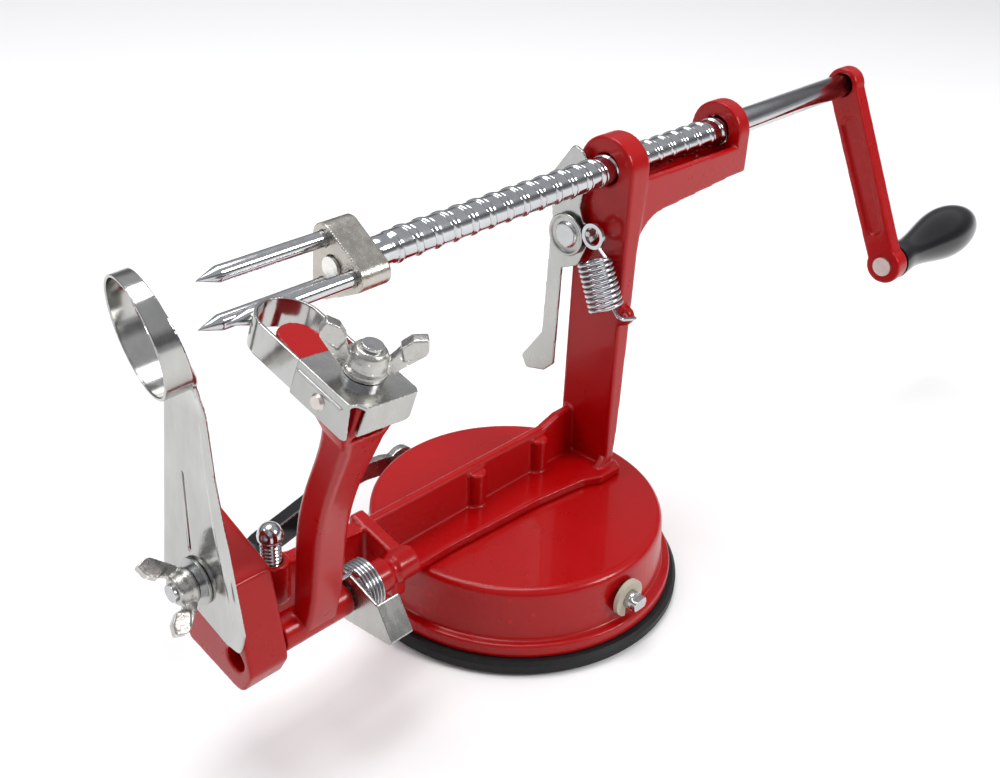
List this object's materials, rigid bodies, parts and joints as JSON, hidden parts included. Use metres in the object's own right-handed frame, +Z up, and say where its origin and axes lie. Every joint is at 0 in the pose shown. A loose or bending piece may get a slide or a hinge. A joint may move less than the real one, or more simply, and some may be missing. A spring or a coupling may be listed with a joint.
{
  "type": "apple peeler corer",
  "caption": "Hand-cranked apple peeler, corer and slicer on a suction foot, with a screw-fed fork shaft, sprung peeling arm and fixed ring cutter.",
  "frame": {"origin": "middle of the rubber foot, on the table", "axes": "+X along the drive shaft from the fork to the crank, +Z up"},
  "size_m": [0.3717, 0.1103, 0.146],
  "materials": {
    "red_enamel": "glossy red baked enamel over a casting",
    "zinc_screw": "bright zinc plated turned steel",
    "zinc_plate": "bright plated sheet steel with fine rolling marks",
    "zinc_cast": "plated cast, slightly uneven",
    "nickel_cast": "nickel plated cast hub",
    "chrome_shaft": "chrome plated bar",
    "chrome_screw": "chrome plated domed screw",
    "rivet_steel": "peened steel rivet",
    "spring_steel": "bright drawn spring wire",
    "blade_steel": "polished stainless strip",
    "black_plastic": "moulded glossy black plastic",
    "clip_plastic": "pale clip ring",
    "rubber": "black moulded rubber"
  },
  "bodies": {
    "stand": {"frame_casting": "red_enamel", "suction_housing": "red_enamel", "housing_screws": "zinc_screw", "suction_cup": "rubber", "arm_pivot_pin": "zinc_screw", "latch_pivot_screw": "zinc_screw", "latch_spring": "spring_steel", "slicer_bolt": "zinc_screw", "slicer_washer": "zinc_plate", "slicer_lock_washer": "spring_steel"},
    "suction_lever": {"lever_axle": "zinc_screw", "axle_clip": "clip_plastic", "suction_lever": "zinc_plate", "lever_grip": "black_plastic"},
    "cup_stem": {"cup_stem": "zinc_screw"},
    "feed_carrier": {"shaft_rivet": "nickel_cast"},
    "drive": {"drive_shaft": "chrome_shaft", "fork_hub": "nickel_cast", "fork_prongs": "chrome_shaft", "crank_arm": "red_enamel", "crank_rivet": "rivet_steel", "grip_pin": "zinc_screw"},
    "grip": {"crank_grip": "black_plastic"},
    "latch": {"latch_plate": "zinc_plate"},
    "slicer": {"slicer_blade": "blade_steel"},
    "slicer_nut": {"slicer_wing_nut": "zinc_cast"},
    "stop_screw": {"stop_screw": "chrome_screw"},
    "arm": {"peeler_arm": "red_enamel", "torsion_spring": "spring_steel"},
    "lock_plate": {"arm_lock_plate": "zinc_plate"},
    "blade_carriage": {"peeler_blade": "blade_steel", "blade_clip": "zinc_plate", "clip_rivets": "rivet_steel", "blade_bolt": "zinc_screw", "blade_lock_washer": "spring_steel"},
    "blade_nut": {"blade_wing_nut": "zinc_cast"}
  },
  "joints": [
    {"name": "shaft_turn", "type": "hinge", "parent": "feed_carrier", "child": "drive", "pos_m": [0, 0, 0.131], "axis": [1, 0, 0], "range_deg": [-951, 4499]},
    {"name": "shaft_feed", "type": "slide", "parent": "stand", "child": "feed_carrier", "axis": [1, 0, 0], "range_m": [-0.018, 0.085]},
    {"name": "grip_spin", "type": "hinge", "parent": "drive", "child": "grip", "pos_m": [0.177, -0.03, 0.068], "axis": [1, 0, 0], "continuous": true},
    {"name": "latch_tilt", "type": "hinge", "parent": "stand", "child": "latch", "pos_m": [0.0295, 0.0099, 0.1081], "axis": [1, 0, 0], "range_deg": [-18, 0], "stiffness_Nm_per_rad": 0.05, "springref_deg": 28.65, "deforming": ["latch_spring"]},
    {"name": "slicer_adjust", "type": "slide", "parent": "stand", "child": "slicer", "axis": [0, 0, 1], "range_m": [-0.0025, 0.0025]},
    {"name": "slicer_nut_turn", "type": "hinge", "parent": "stand", "child": "slicer_nut", "pos_m": [-0.122, 0.001, 0.0582], "axis": [1, 0, 0], "continuous": true},
    {"name": "stop_screw_turn", "type": "hinge", "parent": "stand", "child": "stop_screw", "pos_m": [-0.0948, 0.0032, 0.05], "axis": [0, 0, 1], "continuous": true},
    {"name": "peeler_arm_swing", "type": "hinge", "parent": "stand", "child": "arm", "pos_m": [0, -0.0109, 0.0387], "axis": [1, 0, 0], "range_deg": [0, 28], "stiffness_Nm_per_rad": 0.15, "springref_deg": -45.84},
    {"name": "lock_plate_turn", "type": "hinge", "parent": "stand", "child": "lock_plate", "pos_m": [0, -0.0109, 0.0387], "axis": [1, 0, 0], "range_deg": [0, 20]},
    {"name": "blade_adjust", "type": "slide", "parent": "arm", "child": "blade_carriage", "axis": [0, 0.9659, 0.2588], "range_m": [-0.003, 0]},
    {"name": "blade_nut_turn", "type": "hinge", "parent": "blade_carriage", "child": "blade_nut", "pos_m": [-0.1022, -0.0421, 0.12387], "axis": [0.1219, -0.2569, 0.9587], "continuous": true},
    {"name": "suction_lever_turn", "type": "hinge", "parent": "stand", "child": "suction_lever", "pos_m": [-0.003, 0.05, 0.017], "axis": [0, 1, 0], "range_deg": [0, 100]},
    {"name": "cup_lift", "type": "slide", "parent": "stand", "child": "cup_stem", "axis": [0, 0, 1], "range_m": [0, 0.0019]}
  ],
  "couplings": [
    {"joint": "shaft_feed", "follows": "shaft_turn", "m_per_rad": 0.0010823},
    {"joint": "cup_lift", "follows": "suction_lever_turn", "m_per_rad": 0.00108}
  ]
}
